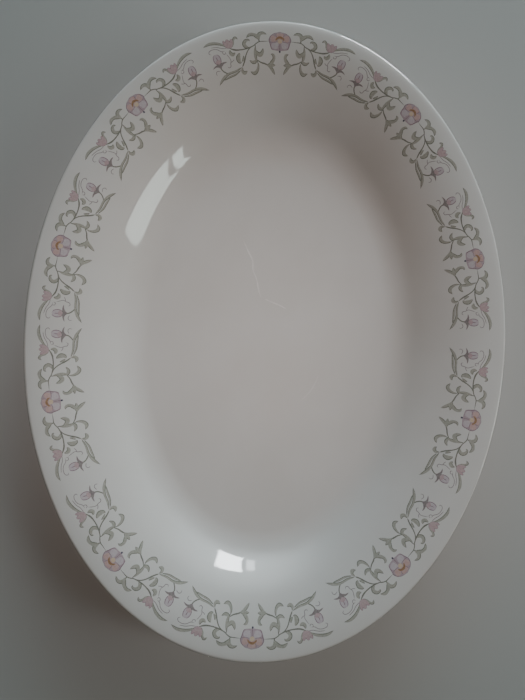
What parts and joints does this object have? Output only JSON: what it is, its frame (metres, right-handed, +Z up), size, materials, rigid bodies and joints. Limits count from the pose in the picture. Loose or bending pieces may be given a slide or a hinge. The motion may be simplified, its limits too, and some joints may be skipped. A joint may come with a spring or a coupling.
{
  "type": "oval serving platter",
  "caption": "Shallow oval porcelain serving dish with a broad crowned rim, printed floral sprays, a platinum edge line and a foot ring.",
  "frame": {"origin": "centre of the plane that the foot ring stands on", "axes": "+Z up out of the dish, +Y along its length towards one end spray, +X across its width"},
  "size_m": [0.262, 0.3499, 0.0326],
  "materials": {
    "biscuit": "bare fired porcelain, matt",
    "glaze": "clear gloss glaze over white porcelain",
    "platinum": "polished platinum lustre, slightly worn",
    "print": "ceramic colours in sage, pink, lilac and peach, fired glossy"
  },
  "bodies": {
    "root": {"porcelain_body": "biscuit", "glaze_coat": "glaze", "base_glaze": "glaze", "platinum_line": "platinum", "rim_spray_01": "print", "rim_spray_02": "print", "rim_spray_03": "print", "rim_spray_04": "print", "rim_spray_05": "print", "rim_spray_06": "print", "rim_spray_07": "print", "rim_spray_08": "print", "rim_spray_09": "print", "rim_spray_10": "print"}
  },
  "joints": []
}
